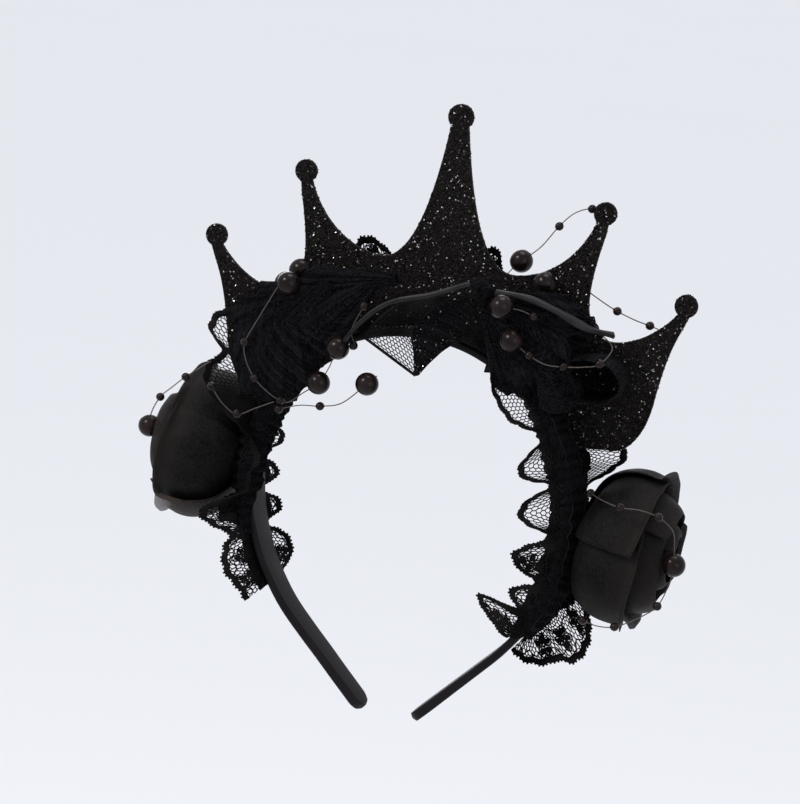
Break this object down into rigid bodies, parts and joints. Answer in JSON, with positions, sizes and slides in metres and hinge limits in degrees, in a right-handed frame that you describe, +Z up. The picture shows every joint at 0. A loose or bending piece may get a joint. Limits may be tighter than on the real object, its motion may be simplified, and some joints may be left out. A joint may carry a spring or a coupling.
{
  "type": "lace crown headband",
  "caption": "Black headband with a pointed glitter crown, gathered lace ruffles, tulle, fabric roses and bead strings along its outer side.",
  "frame": {"origin": "middle of the strap's inner face at its highest point, where it sits on the head", "axes": "+Z up as worn, +X to the wearer's left (the right of the picture), -Y to the front, where the roses' side shows the beads and the net tail"},
  "size_m": [0.2014, 0.0637, 0.2177],
  "materials": {
    "satin_strap": "black satin covering, soft sheen",
    "glitter_sheet": "coarse black glitter",
    "lace": "matte black net lace",
    "tulle": "matte black tulle",
    "ribbon": "black satin ribbon",
    "organza": "black organza, faint sheen",
    "beads": "glossy black"
  },
  "bodies": {
    "root": {"beads_behind_crown": "beads", "beads_crown_right": "beads", "beads_hanging_left": "beads", "beads_left": "beads", "beads_lower_left": "beads", "beads_middle_right": "beads", "beads_rose_left": "beads", "beads_rose_right": "beads", "beads_upper_left": "beads", "beads_upper_right": "beads", "crown": "glitter_sheet", "headband": "satin_strap", "knot": "tulle", "lace_back_left": "lace", "lace_back_right": "lace", "lace_front_left": "lace", "lace_front_right": "lace", "net_tail": "lace", "ribbon_left": "ribbon", "ribbon_right": "ribbon", "rose_left_bud": "organza", "rose_left_inner_1": "organza", "rose_left_inner_2": "organza", "rose_left_middle_1": "organza", "rose_left_middle_2": "organza", "rose_left_middle_3": "organza", "rose_left_outer_1": "organza", "rose_left_outer_2": "organza", "rose_left_outer_3": "organza", "rose_left_outer_4": "organza", "rose_left_outer_5": "organza", "rose_right_bud": "organza", "rose_right_inner_1": "organza", "rose_right_inner_2": "organza", "rose_right_middle_1": "organza", "rose_right_middle_2": "organza", "rose_right_middle_3": "organza", "rose_right_outer_1": "organza", "rose_right_outer_2": "organza", "rose_right_outer_3": "organza", "rose_right_outer_4": "organza", "rose_right_outer_5": "organza", "tulle_fan_left": "tulle", "tulle_fan_right": "tulle", "tulle_roll": "tulle"}
  },
  "joints": []
}
